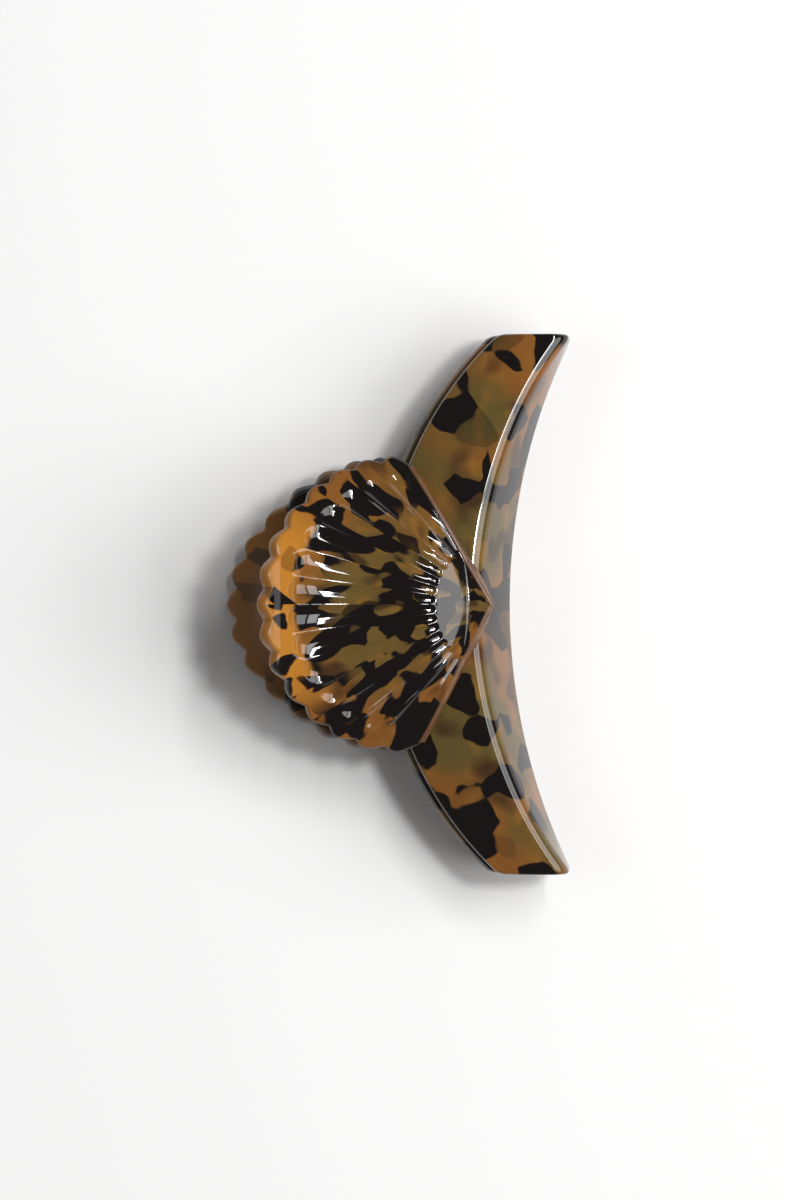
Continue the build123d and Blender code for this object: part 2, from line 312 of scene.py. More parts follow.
# %% Make the two plates
def shell_faces(rows, columns, edge, ring_count):
    """Faces of the outer patch, of the rings round its edge and of the inner patch."""
    rim = [i * columns + j for i, j in edge]
    count, first = len(edge), rows * columns
    inner = first + ring_count * count
    loops = [rim] + [list(range(first + r * count, first + (r + 1) * count)) for r in range(ring_count)]
    loops.append([inner + k for k in rim])
    faces = grid_faces(rows, columns)
    for a, b in zip(loops, loops[1:]):
        for j in range(count):
            k = (j + 1) % count
            faces.append((a[j], b[j], b[k], a[k]))
    return faces + [tuple(reversed(f)) for f in grid_faces(rows, columns, inner)]


def make_plate(name, side):
    flat = plan(V_LIP, LIP)
    x, y = flat[..., 0], flat[..., 1]
    outer = np.stack([x, y, plate_height(x, y)], -1)
    normal = base_normal(x, y)
    inner = outer - WALL * normal
    rows, columns = outer.shape[:2]
    edge = loop_of(rows, columns)
    on_v = np.array([share_on_v(i, j, rows, columns) for i, j in edge])
    below = np.array([inner[i, j] for i, j in edge])
    rings = edge_rings(*edge_ways(outer, normal, edge), below, on_v)
    points = np.concatenate([outer.reshape(-1, 3), *rings, inner.reshape(-1, 3)])
    points[:, 2] *= side
    faces = shell_faces(rows, columns, edge, len(rings))
    piece = solid(name, points, faces, flip=side < 0)

    ahead, across = TIP[0] - points[:, 0], points[:, 1]
    ray, patch = np.arctan2(across, ahead), rows * columns
    on_outer, on_bead = np.zeros(len(points)), np.zeros(len(points))
    on_outer[:patch] = 1
    on_bead[patch:-patch] = np.tile(on_v, len(rings))
    number(piece.data, "ray", ray)
    number(piece.data, "reach", np.hypot(across, ahead))
    number(piece.data, "rim", rim_reach(np.clip(ray, -V_ANGLE, V_ANGLE), RIM_RADIUS))
    number(piece.data, "outer", on_outer)
    number(piece.data, "bead", on_bead)
    print(name, len(points), "points,", len(faces), "faces")
    return piece


upper_plate = make_plate("upper_plate", 1)
lower_plate = make_plate("lower_plate", -1)


# %% [markdown]
# The flutes are the plate's own rule: each lies between two rays, is as wide as the gap between them,
# and has a round bottom and round ends, as a ball-nosed cutter leaves. A Geometry Nodes tree cuts them,
# reading each point's ray and reach. Its sizes are named inputs, so they can be changed by hand.

# %% A small kit for node trees
class Tree:
    """Adds nodes and links them; a number may stand for any input."""

    def __init__(self, tree):
        self.tree = tree

    def node(self, kind, *inputs, **settings):
        made = self.tree.nodes.new(kind)
        for key, value in settings.items():
            setattr(made, key, value)
        for socket, value in zip(made.inputs, inputs):
            self.put(value, socket)
        return made

    def put(self, value, socket):
        if isinstance(value, bpy.types.NodeSocket):
            self.tree.links.new(value, socket)
        elif value is not None:
            socket.default_value = value

    def math(self, operation, *inputs):
        return self.node("ShaderNodeMath", *inputs, operation=operation).outputs[0]

    def named(self, name):
        made = self.node("GeometryNodeInputNamedAttribute", data_type="FLOAT")
        made.inputs["Name"].default_value = name
        return made.outputs["Attribute"]


def new_modifier_tree(name, **sizes):
    """A Geometry Nodes tree with a geometry input and named sizes."""
    group = bpy.data.node_groups.new(name, "GeometryNodeTree")
    group.interface.new_socket("Geometry", in_out="OUTPUT", socket_type="NodeSocketGeometry")
    group.interface.new_socket("Geometry", in_out="INPUT", socket_type="NodeSocketGeometry")
    for label, value in sizes.items():
        socket = group.interface.new_socket(label, in_out="INPUT", socket_type="NodeSocketFloat")
        socket.default_value = value
    tree = Tree(group)
    return tree, tree.node("NodeGroupInput").outputs, tree.node("NodeGroupOutput")


def finish_tree(t, geometry, end):
    """End a tree: realize its instances and give it the finish that it is handed."""
    whole = t.node("GeometryNodeRealizeInstances", geometry)
    t.tree.interface.new_socket("Finish", in_out="INPUT", socket_type="NodeSocketMaterial")
    dressed = t.node("GeometryNodeSetMaterial", whole.outputs[0])
    t.put(t.node("NodeGroupInput").outputs["Finish"], dressed.inputs["Material"])
    t.put(dressed.outputs[0], end.inputs[0])
    return t.tree


def apply_tree(piece, group, material):
    """Run a tree on a piece once and keep the result as a plain mesh."""
    modifier = piece.modifiers.new(group.name, "NODES")
    modifier.node_group = group
    for item in group.interface.items_tree:
        if item.in_out == "INPUT" and item.name != "Geometry":
            modifier[item.identifier] = material if item.name == "Finish" else item.default_value
    bpy.context.view_layer.update()
    seen = piece.evaluated_get(bpy.context.evaluated_depsgraph_get())
    mesh = bpy.data.meshes.new_from_object(seen)
    piece.modifiers.clear()
    old, piece.data = piece.data, mesh
    mesh.name = piece.name
    bpy.data.meshes.remove(old)
    print(piece.name, "after", group.name, len(mesh.polygons), "faces")


# %% [markdown]
# Tortoiseshell plastic is amber with near-black chips that sit at different depths in it, so some have
# crisp edges and some are soft. Cells with a chance value each, blended where they touch and bent by
# noise, give the chips. A threshold then says which are dark. On the plates the chips are drawn out along
# the flutes and step where a crest crosses them, so there the pattern follows the rays.

# %% Colours and noise helpers
def linear(*rgb):
    """A colour from its display values, 0 to 255."""
    return [((c / 255 + 0.055) / 1.055) ** 2.4 if c > 10 else c / 255 / 12.92 for c in rgb] + [1.0]


AMBER, GLOW, OLIVE = linear(126, 80, 32), linear(180, 118, 38), linear(90, 75, 36)
DEEP, BROWN, EDGE_BROWN = linear(14, 7, 5), linear(46, 27, 15), linear(124, 84, 54)


def new_material(name):
    """A material, its tree and its shader."""
    material = bpy.data.materials.new(name)
    material.use_nodes = True
    print("material", name)
    return material, Tree(material.node_tree), material.node_tree.nodes["Principled BSDF"]


def ramp(t, value, low, high):
    """0 below low and 1 above high, smooth between; low may be the larger of the two."""
    flip = low > high
    ends = (1.0, 0.0) if flip else (0.0, 1.0)
    made = t.node("ShaderNodeMapRange", value, min(low, high), max(low, high), *ends,
                  interpolation_type="SMOOTHSTEP")
    return made.outputs[0]


def mix(t, share, a, b):
    made = t.node("ShaderNodeMix", data_type="RGBA")
    t.put(share, made.inputs[0])
    t.put(a, made.inputs[6])
    t.put(b, made.inputs[7])
    return made.outputs[2]


def vector(t, operation, a, b):
    made = t.node("ShaderNodeVectorMath", a, operation=operation)
    t.put(b, made.inputs["Scale"] if operation == "SCALE" else made.inputs[1])
    return made.outputs[0]


def noise(t, place, size, detail=1.0):
    """Soft noise whose features are about this many millimetres wide."""
    made = t.node("ShaderNodeTexNoise")
    t.put(place, made.inputs["Vector"])
    made.inputs["Scale"].default_value = 1 / size
    made.inputs["Detail"].default_value = detail
    return made


def chips(t, place, size, softness):
    """A chance value for each chip of this size, blended into its neighbours by softness."""
    made = t.node("ShaderNodeTexVoronoi", feature="SMOOTH_F1")
    t.put(place, made.inputs["Vector"])
    made.inputs["Scale"].default_value = 1 / size
    made.inputs["Smoothness"].default_value = softness
    parts = t.node("ShaderNodeSeparateColor", made.outputs["Color"])
    return parts.outputs[0]


def read(t, name):
    return t.node("ShaderNodeAttribute", attribute_name=name).outputs["Fac"]


# %% [markdown]
# A jaw's pattern is measured in object coordinates. A plate's is measured along its rays instead, and
# slips by a chance amount from one flute to the next. Three more helpers say where on a plate a point is.

# %% Where the pattern is measured
FOLD, SLIP = 1.6, 5.0  # mm that the pattern bends inside a flute, and slips between flutes
DRAW_POWER, DRAW = 0.62, 3.7  # how the pattern is drawn out along the rays


def jaw_place(t):
    """Object coordinates in millimetres."""
    place = t.node("ShaderNodeTexCoord").outputs["Object"]
    return vector(t, "SCALE", place, 1 / MM)


def plate_place(t):
    """The plate's plan in millimetres, drawn out along the rays and stepped at each crest."""
    ray, reach = read(t, "ray"), read(t, "reach")
    count = t.math("DIVIDE", ray, LOBE_PITCH)
    fold = t.math("MULTIPLY", t.math("PINGPONG", count, 0.5), FOLD)
    chance = t.node("ShaderNodeTexWhiteNoise", noise_dimensions="1D")
    t.put(t.math("FLOOR", count), chance.inputs["W"])
    slip = t.math("MULTIPLY", t.math("SUBTRACT", chance.outputs["Value"], 0.5), SLIP)
    shift = t.math("MULTIPLY", t.math("SUBTRACT", fold, slip), ramp(t, reach, 10.0, 14.0))
    drawn = t.math("POWER", t.math("SUBTRACT", reach, shift), DRAW_POWER)
    drawn = t.math("MULTIPLY", drawn, DRAW)
    ahead = t.math("MULTIPLY", drawn, t.math("COSINE", ray))
    across = t.math("MULTIPLY", drawn, t.math("SINE", ray))
    return t.node("ShaderNodeCombineXYZ", ahead, across, 0.0).outputs[0]


def to_rim(t):
    """How far a point is from the rim along its ray, mm."""
    return t.math("SUBTRACT", read(t, "rim"), read(t, "reach"))


def aside(t):
    """The angle between a point's ray and the middle one."""
    return t.math("ABSOLUTE", read(t, "ray"))


def rim_glow(t):
    """Light comes through the thin flange behind the flutes, most of all at its middle."""
    return t.math("MULTIPLY", ramp(t, to_rim(t), 7.5, 4.5), ramp(t, aside(t), 0.62, 0.25))


RING_RADIUS, RING_FROM_RIM = 1.15, 5.4


def ejector_ring(t):
    """The faint round mark that a moulding pin leaves inside the plate, near the rim."""
    ray, reach = read(t, "ray"), read(t, "reach")
    centre = TIP[0] - RIM[0] - RING_FROM_RIM
    along = t.math("SUBTRACT", t.math("MULTIPLY", reach, t.math("COSINE", ray)), centre)
    across = t.math("MULTIPLY", reach, t.math("SINE", ray))
    square = t.math("ADD", t.math("MULTIPLY", along, along), t.math("MULTIPLY", across, across))
    line = t.math("ABSOLUTE", t.math("SUBTRACT", t.math("SQRT", square), RING_RADIUS))
    return t.math("MULTIPLY", ramp(t, line, 0.2, 0.05), t.math("SUBTRACT", 1.0, read(t, "outer")))


# %% [markdown]
# Four things make the colour, one over another: amber with olive patches, a soft brown haze, the dark
# chips, and the plate's own marks. On a plate, painted light from behind warms the middle of the rim, and
# there are more chips next to it and at the sides. The hollow inside is less polished, and painted shade
# darkens it towards brown.

# %% Tortoiseshell
POLISH, INSIDE_DULLNESS = 0.055, 0.35
INDEX = 1.58  # of refraction
BEND_SIZE, BEND = 5.0, 2.6


def olive_share(t, tone, on_plate):
    """Olive lies in patches, and on a plate most of all in its middle, away from the rim."""
    patches = ramp(t, tone, 0.4, 0.62)
    if not on_plate:
        return patches
    middle = t.math("MULTIPLY", ramp(t, aside(t), 0.95, 0.5), ramp(t, to_rim(t), 7.0, 14.0))
    return t.math("MAXIMUM", t.math("MULTIPLY", middle, 0.85), t.math("MULTIPLY", patches, 0.5))


def plate_tint(t, color, crisp, soft):
    """What a plate does to its colour, with painted light at the rim and painted shade on its hollow inside,
    and to the chance of crisp chips and soft haze.
    """
    glow, inside = rim_glow(t), t.math("SUBTRACT", 1.0, read(t, "outer"))
    color = mix(t, t.math("MULTIPLY", glow, 0.85), color, GLOW)
    # painted shade: the hollow inside face is darkened towards brown, where shade falls inside the plate
    color = mix(t, t.math("MULTIPLY", inside, 0.35), color, BROWN)
    band = t.math("MULTIPLY", ramp(t, to_rim(t), 5.5, 7.5), ramp(t, to_rim(t), 13.0, 9.0))
    sides = ramp(t, aside(t), 0.4, 0.85)
    for where, amount in ((glow, -0.3), (band, 0.1), (sides, 0.07), (inside, -0.12)):
        crisp = t.math("MULTIPLY_ADD", where, amount, crisp)
    return color, crisp, t.math("MULTIPLY_ADD", glow, -0.3, soft)


def tortoiseshell(name, shift, chip, dark_from, on_plate=False):
    """Amber plastic with dark chips; shift moves the pattern and dark_from sets how many are dark."""
    material, t, shader = new_material(name)
    place = vector(t, "ADD", plate_place(t) if on_plate else jaw_place(t), shift)
    bend = vector(t, "SUBTRACT", noise(t, place, BEND_SIZE).outputs["Color"], (0.5, 0.5, 0.5))
    bent = vector(t, "ADD", place, vector(t, "SCALE", bend, BEND))
    crisp = chips(t, bent, chip, 0.4 if on_plate else 0.27)
    soft = noise(t, vector(t, "ADD", bent, (31.0, 7.0, 19.0)), chip * 1.3, 0.5).outputs["Fac"]
    tone = noise(t, place, 17.0).outputs["Fac"]
    grain = noise(t, bent, chip).outputs["Fac"]
    color = mix(t, olive_share(t, tone, on_plate), AMBER, OLIVE)
    color = mix(t, t.math("MULTIPLY", ramp(t, grain, 0.5, 0.8), 0.25), color, GLOW)
    if on_plate:
        color, crisp, soft = plate_tint(t, color, crisp, soft)
    color = mix(t, t.math("MULTIPLY", ramp(t, soft, 0.5, 0.72), 0.8), color, BROWN)
    color = mix(t, ramp(t, crisp, dark_from - 0.09, dark_from + 0.07), color, DEEP)
    shader.inputs["Roughness"].default_value = POLISH
    if on_plate:
        color = mix(t, t.math("MULTIPLY", read(t, "bead"), 0.6), color, EDGE_BROWN)
        color = mix(t, t.math("MULTIPLY", ejector_ring(t), 0.5), color, DEEP)
        inside = t.math("SUBTRACT", 1.0, read(t, "outer"))
        t.put(t.math("MULTIPLY_ADD", inside, INSIDE_DULLNESS, POLISH), shader.inputs["Roughness"])
    t.put(color, shader.inputs["Base Color"])
    shader.inputs["IOR"].default_value = INDEX
    return material


jaw_finish = {1: tortoiseshell("upper_jaw_tortoiseshell", (11.0, 64.0, 26.0), 5.6, 0.6),
              -1: tortoiseshell("lower_jaw_tortoiseshell", (57.0, -23.0, 40.0), 5.6, 0.6)}
plate_finish = {1: tortoiseshell("upper_plate_tortoiseshell", (12.0, 33.0, 3.0), 3.1, 0.45, True),
                -1: tortoiseshell("lower_plate_tortoiseshell", (83.0, 59.0, 9.0), 3.1, 0.45, True)}


# %% [markdown]
# The pin and the spring are steel. Drawn wire is never quite even, so its roughness varies a little.

# %% Steel
def steel(name, grey, roughness):
    """Plain bright steel, very slightly uneven."""
    material, t, shader = new_material(name)
    uneven = noise(t, jaw_place(t), 0.8, 2.0).outputs["Fac"]
    shade = t.node("ShaderNodeMapRange", uneven, 0.0, 1.0, roughness * 0.7, roughness * 1.3)
    t.put(shade.outputs[0], shader.inputs["Roughness"])
    shader.inputs["Base Color"].default_value = (grey, grey, grey * 0.97, 1)
    shader.inputs["Metallic"].default_value = 1.0
    return material


pin_finish = steel("pin_steel", 0.62, 0.22)
spring_finish = steel("spring_steel", 0.5, 0.26)


# %% [markdown]
# The tree works out, for each point, how far it is from the middle of its flute, counting the round
# ends, and sinks it by a parabola of that distance. Where two flutes meet they leave a sharp crest.

# %% Flutes
def flute_tree():
    t, size, end = new_modifier_tree("cut_flutes", **{"Pitch": LOBE_PITCH, "Depth Share": 0.16,
                                                     "Start": 11.5, "Flange": 4.6, "Last Crest": 7.0})
    ray, reach = t.named("ray"), t.named("reach")
    count = t.math("DIVIDE", ray, size["Pitch"])
    width = t.math("MULTIPLY", reach, size["Pitch"])
    across = t.math("MULTIPLY", t.math("SUBTRACT", t.math("FRACT", count), 0.5), width)
    half = t.math("MULTIPLY", width, 0.5)
    before = t.math("MAXIMUM", t.math("SUBTRACT", t.math("ADD", size["Start"], half), reach), 0.0)
    last = t.math("SUBTRACT", t.math("SUBTRACT", t.named("rim"), size["Flange"]), half)
    after = t.math("MAXIMUM", t.math("SUBTRACT", reach, last), 0.0)
    beyond = t.math("ADD", before, after)
    square = t.math("ADD", t.math("MULTIPLY", across, across), t.math("MULTIPLY", beyond, beyond))
    share = t.math("DIVIDE", square, t.math("MULTIPLY", half, half))
    hollow = t.math("MAXIMUM", t.math("SUBTRACT", 1.0, share), 0.0)
    inside = t.math("LESS_THAN", t.math("ABSOLUTE", count), size["Last Crest"])
    depth = t.math("MULTIPLY", t.math("MULTIPLY", hollow, t.math("MULTIPLY", width, size["Depth Share"])),
                   t.math("MULTIPLY", inside, t.named("outer")))
    sink = t.node("ShaderNodeVectorMath", t.node("GeometryNodeInputNormal").outputs[0], operation="SCALE")
    t.put(t.math("MULTIPLY", depth, -MM), sink.inputs["Scale"])
    moved = t.node("GeometryNodeSetPosition")
    t.put(size["Geometry"], moved.inputs["Geometry"])
    t.put(sink.outputs[0], moved.inputs["Offset"])
    return finish_tree(t, moved.outputs[0], end)


WELD = 1e-7  # m; points closer than this are one


def outward(piece):
    """Turn a closed mesh's faces outwards."""
    work = bmesh.new()
    work.from_mesh(piece.data)
    bmesh.ops.remove_doubles(work, verts=work.verts, dist=WELD)
    bmesh.ops.recalc_face_normals(work, faces=work.faces)
    work.to_mesh(piece.data)
    work.free()
    piece.data.polygons.foreach_set("use_smooth", [True] * len(piece.data.polygons))


flutes = flute_tree()
for plate, side in ((upper_plate, 1), (lower_plate, -1)):
    outward(plate)
    apply_tree(plate, flutes, plate_finish[side])


# %% [markdown]
# A jaw is one section drawn along a crescent: a domed main face, a rounded ridge, and a steep wall that
# meets the other jaw. The section changes along the jaw, so each station is worked out from the same
# three lines, the hinge-side edge, the ridge and the bite.

# %% Jaw sections
TURN = 8  # points round each rounded corner
STATIONS = 150
FACE_POINTS = 16
FACE_FROM, FACE_TO = 0.07, 0.84  # the part of the chord that the main face takes
START_ROOM, RIDGE_ROOM = 1.2, 3.4  # mm of it that its two corners need at least
END_ROUNDING, END_STEPS = 0.4, 7  # of the edge round each tip's flat end


def corner(before, at, after, radius):
    """Points on the arc that rounds one corner, always as many."""
    u, v = before - at, after - at
    u, v = u / np.linalg.norm(u), v / np.linalg.norm(v)
    opening = np.arccos(np.clip(u @ v, -1, 1))
    middle = at + (u + v) / np.linalg.norm(u + v) * radius / sin(opening / 2)
    first, last = at + u * radius / tan(opening / 2), at + v * radius / tan(opening / 2)
    a, b = atan2(*(first - middle)[::-1]), atan2(*(last - middle)[::-1])
    b = a + (b - a + pi) % (2 * pi) - pi
    turn = np.linspace(a, b, TURN)
    return middle + radius * np.stack([np.cos(turn), np.sin(turn)], 1)


def meet(p, along_p, q, along_q):
    """Where two lines in the section cross."""
    run = np.linalg.solve(np.stack([along_p, -along_q], 1), q - p)
    return p + along_p * run[0]


def jaw_section(y):
    """A closed loop of (x, z) points at y."""
    start, top, foot = (np.array(p) for p in jaw_lines(y))
    near_tip = HALF - abs(y)
    rounded = ((TIP_ROUNDING, top, -1), (TIP_ROUNDING, foot, -1), (EDGE_TIP_ROUNDING, start, 1))
    for radius, point, way in rounded:
        if near_tip < radius:
            point[0] += way * (radius - sqrt(max(radius**2 - (radius - near_tip) ** 2, 0)))
    chord = top - start
    run = np.linalg.norm(chord)
    t = np.linspace(max(FACE_FROM, START_ROOM / run), min(FACE_TO, 1 - RIDGE_ROOM / run), FACE_POINTS)
    t = t[:, None]
    across = np.array([-chord[1], chord[0]]) / run
    face = start + chord * t + across * 4 * FACE_BULGE * t * (1 - t)
    way = chord + across * 4 * FACE_BULGE * (1 - 2 * t)
    way /= np.linalg.norm(way, axis=1, keepdims=True)
    under = face - WALL * np.stack([-way[:, 1], way[:, 0]], 1)
    wall = (foot - top) / np.linalg.norm(foot - top)
    foot_in = foot - np.array([WALL / abs(wall[1]), 0])
    top_out = meet(face[-1], way[-1], foot, wall)
    top_in = meet(under[-1], way[-1], foot_in, wall)
    start_in = start + WALL * np.array([way[0][1], -way[0][0]])
    loop = [corner(start_in, start, face[0], JAW_ROUNDING), face,
            corner(face[-1], top_out, foot, RIDGE_RADIUS), corner(top_out, foot, foot_in, FOOT_ROUNDING),
            corner(foot, foot_in, top_in, FOOT_ROUNDING), corner(foot_in, top_in, under[-1], JAW_ROUNDING),
            under[::-1], corner(under[0], start_in, start, JAW_ROUNDING)]
    return np.concatenate(loop)


def shrunk(loop, inset):
    """The loop moved inwards by inset all round."""
    ahead = np.roll(loop, -1, 0) - np.roll(loop, 1, 0)
    ahead /= np.linalg.norm(ahead, axis=1, keepdims=True)
    return loop + inset * np.stack([ahead[:, 1], -ahead[:, 0]], 1)


def crescent():
    """Points and faces of one hollow crescent, rounded at its tips."""
    middle = (HALF - END_ROUNDING) * np.sin(np.linspace(-pi / 2, pi / 2, STATIONS))
    turns = np.linspace(0, pi / 2, END_STEPS)[1:]
    tips = [(HALF - END_ROUNDING * (1 - sin(a)), END_ROUNDING * (1 - cos(a))) for a in turns]
    relief_ends = [(s * (INNER_KNUCKLE + d), 0.0) for s in (-1, 1) for d in (-0.05, 0.05)]
    straight = sorted([(y, 0.0) for y in middle] + relief_ends)
    stations = [(-y, inset) for y, inset in reversed(tips)] + straight + tips
    rings = []
    for y, inset in stations:
        loop = shrunk(jaw_section(y), inset)
        if abs(y) < INNER_KNUCKLE:  # room for the coil
            away = np.linalg.norm(loop, axis=1, keepdims=True)
            loop = loop * np.maximum(RELIEF / away, 1)
        rings.append(np.stack([loop[:, 0], np.full(len(loop), y), loop[:, 1]], 1))
    columns = len(rings[0])
    faces = grid_faces(len(rings), columns, closed=True)
    # each tip's flat end is a strip between the section's outer line and its inner one
    for base, turned in ((0, False), ((len(rings) - 1) * columns, True)):
        for j in range(columns // 2 - 1):
            quad = (base + j, base + j + 1, base + columns - 2 - j, base + columns - 1 - j)
            faces.append(quad if turned else tuple(reversed(quad)))
    return np.concatenate(rings), faces


crescent_points, crescent_faces = crescent()
print("crescent", len(crescent_points), "points,", len(crescent_faces), "faces")
jaws = {}
for side, name in ((1, "upper_crescent"), (-1, "lower_crescent")):
    points = crescent_points * np.array([1, 1, side])
    jaws[side] = solid(name, points, crescent_faces)
    outward(jaws[side])
    jaws[side].data.materials.append(jaw_finish[side])


# %% [markdown]
# The teeth stand inside the bite. Each has a curved middle line: it starts in its own jaw's wall, crosses
# the bite, and then keeps a small gap to the other jaw's wall. The two rows interleave, eleven above and
# ten below. One tree sweeps a rounded bar along all the lines of a row, thinner where `taper` says.

# %% The teeth's middle lines
TOOTH_POINTS = 40
ROOT_THINNING = 0.45  # how much thinner a tooth is where it leaves the wall


def path_mesh(name, lines, tapers):
    """Edges only, with a taper at each point, for a tree to sweep along."""
    points = np.concatenate(lines)
    edges, start = [], 0
    for line in lines:
        edges += [(start + i, start + i + 1) for i in range(len(line) - 1)]
        start += len(line)
    mesh = bpy.data.meshes.new(name)
    mesh.from_pydata(settle(points).tolist(), edges, [])
    number(mesh, "taper", np.concatenate(tapers))
    piece = bpy.data.objects.new(name, mesh)
    bpy.context.scene.collection.objects.link(piece)
    return piece


def tooth_line(y, side):
    """Points from the root in the wall to the tip, and the bar's share of full size at each."""
    _, top, foot = jaw_lines(y)
    near = jaw_lines(abs(y) - TOOTH_WIDTH / 2)[2]
    lean = atan2(top[1] - foot[1], foot[0] - top[0])
    slope, room = 1 / tan(lean), top[1] - WALL
    root_top, reach = TOOTH_ROOT_SHARE * room, TOOTH_REACH * room
    z = np.linspace(root_top, -reach, TOOTH_POINTS)
    below = np.clip(-z / reach, 0, 1)
    thick = TOOTH_ROOT + (TOOTH_TIP - TOOTH_ROOT) * below
    free = near[0] - WALL / sin(lean) - TOOTH_GAP - below * reach * slope - thick / 2
    held = foot[0] - WALL / sin(lean) / 2 - np.maximum(z, 0) * slope
    blend = np.clip(z / root_top, 0, 1) ** 0.8
    x = free * (1 - blend) + held * blend
    taper = thick / TOOTH_ROOT * (1 - ROOT_THINNING * blend)
    end = np.clip((z + reach) / (TOOTH_TIP / 2), 0, 1)  # round off the tip
    taper = taper * np.sqrt(np.clip(1 - (1 - end) ** 2, 0.03, 1))
    return np.stack([x, np.full(TOOTH_POINTS, y), side * z], 1), taper


# %% [markdown]
# Two trees sweep a profile along lines: a rounded bar for the teeth, and a round rod for the spring wire.

# %% Sweep trees
TOOTH_CORNER, WIRE_SIDES = 0.7, 20


def sweep_tree(name, profile, **sizes):
    """Sweep a profile along a mesh of edges; profile(t, size) makes the curve to sweep."""
    t, size, end = new_modifier_tree(name, **sizes)
    lines = t.node("GeometryNodeMeshToCurve", size["Geometry"])
    turned = t.node("GeometryNodeSetCurveNormal", lines.outputs[0], mode="Z_UP")
    swept_bar = t.node("GeometryNodeCurveToMesh", turned.outputs[0], profile(t, size), t.named("taper"))
    swept_bar.inputs["Fill Caps"].default_value = True
    smooth = t.node("GeometryNodeSetShadeSmooth", swept_bar.outputs[0])
    return finish_tree(t, smooth.outputs[0], end)


def bar(t, size):
    box = t.node("GeometryNodeCurvePrimitiveQuadrilateral", size["Width"], size["Thickness"])
    rounded = t.node("GeometryNodeFilletCurve", box.outputs[0], 5, mode="POLY")
    t.put(size["Rounding"], rounded.inputs["Radius"])
    return rounded.outputs[0]


def rod(t, size):
    circle = t.node("GeometryNodeCurvePrimitiveCircle")
    circle.inputs["Resolution"].default_value = WIRE_SIDES
    t.put(size["Radius"], circle.inputs["Radius"])
    return circle.outputs[0]


sweep_bar = sweep_tree("sweep_bar", bar, **{"Width": TOOTH_WIDTH * MM, "Thickness": TOOTH_ROOT * MM,
                                           "Rounding": TOOTH_CORNER * MM})
sweep_rod = sweep_tree("sweep_rod", rod, **{"Radius": WIRE / 2 * MM})
teeth = {}
for side, name in ((1, "upper_teeth"), (-1, "lower_teeth")):
    rows = [tooth_line(TOOTH_PITCH * (i - (TEETH[side] - 1) / 2), side) for i in range(TEETH[side])]
    teeth[side] = path_mesh(name, [line for line, _ in rows], [taper for _, taper in rows])
    apply_tree(teeth[side], sweep_bar, jaw_finish[side])


# %% [markdown]
# Each jaw has two knuckles round the pin. The upper jaw's are the inner pair and turn on the pin. The
# lower jaw's are the outer pair and grip it. A knuckle is a round eye with an arm to the jaw, all of one
# rounded thickness.

# %% Knuckles
BELT_POINTS, EYE_POINTS, BEND_POINTS = 240, 72, 5


def eye_outline(side, turns):
    """How far the knuckle's outline is from the pin at each turn: a belt round the eye and its arm."""
    a = np.linspace(0, 2 * pi, BELT_POINTS)
    eye = KNUCKLE_RADIUS * np.stack([np.cos(a), np.sin(a)], 1)
    arm = np.array([ARM[0], side * ARM[1]]) + ARM_RADIUS * np.stack([np.cos(a), np.sin(a)], 1)
    cloud = np.concatenate([eye, arm])
    way = np.stack([np.cos(a), np.sin(a)], 1)
    support = (cloud @ way.T).max(0)
    ray = np.stack([np.cos(turns), np.sin(turns)], 1)
    facing = ray @ way.T
    return np.where(facing > 0.05, support / np.maximum(facing, 0.05), 1e9).min(1)


def knuckle(side, y, bore):
    """One knuckle from y to y + KNUCKLE_WIDTH, with its bore and its rounded edges."""
    turns = np.linspace(0, 2 * pi, EYE_POINTS, endpoint=False)
    reach, r = eye_outline(side, turns), KNUCKLE_ROUNDING
    ray = np.stack([np.cos(turns), np.sin(turns)], 1)
    bend = np.linspace(0, pi / 2, BEND_POINTS)
    hole = np.full(EYE_POINTS, bore / 2)
    rings = [(hole, y)]
    rings += [(reach - r * (1 - sin(b)), y + r * (1 - cos(b))) for b in bend]
    rings += [(reach - r * (1 - cos(b)), y + KNUCKLE_WIDTH - r * (1 - sin(b))) for b in bend]
    rings += [(hole, y + KNUCKLE_WIDTH)]
    points = [np.stack([far * ray[:, 0], np.full(EYE_POINTS, at), far * ray[:, 1]], 1) for far, at in rings]
    faces = grid_faces(len(rings), EYE_POINTS, closed=True)
    last = (len(rings) - 1) * EYE_POINTS
    for j in range(EYE_POINTS):
        k = (j + 1) % EYE_POINTS
        faces.append((last + j, last + k, k, j))
    return solid("knuckle", np.concatenate(points), faces)


def join(piece, others):
    """Add other pieces' meshes to one piece; they share its material."""
    work = bmesh.new()
    for part in [piece] + others:
        work.from_mesh(part.data)
    for face in work.faces:
        face.material_index = 0
    work.to_mesh(piece.data)
    work.free()
    for part in others:
        bpy.data.objects.remove(part)
    piece.data.polygons.foreach_set("use_smooth", [True] * len(piece.data.polygons))
    print(piece.name, "is now", len(piece.data.polygons), "faces")


for side, at, bore in ((1, INNER_KNUCKLE, RUNNING_BORE), (-1, OUTER_KNUCKLE, PIN)):
    eyes = [knuckle(side, y, bore) for y in (at, -at - KNUCKLE_WIDTH)]
    for eye in eyes:
        outward(eye)
    outward(teeth[side])
    join(jaws[side], eyes + [teeth[side]])


# %% [markdown]
# The torsion spring is one wire: a leg under each thumb plate and seven turns round the pin between
# them. When the plates are pressed together the upper leg goes with the upper half, so the coil has to
# twist along its length.

# %% Torsion spring
def plate_under(x, y, depth):
    """The point that lies this deep under a plate's outer face."""
    p = np.array([x, y, float(plate_height(x, y))])
    return p - depth * base_normal(np.array(x), np.array(y))


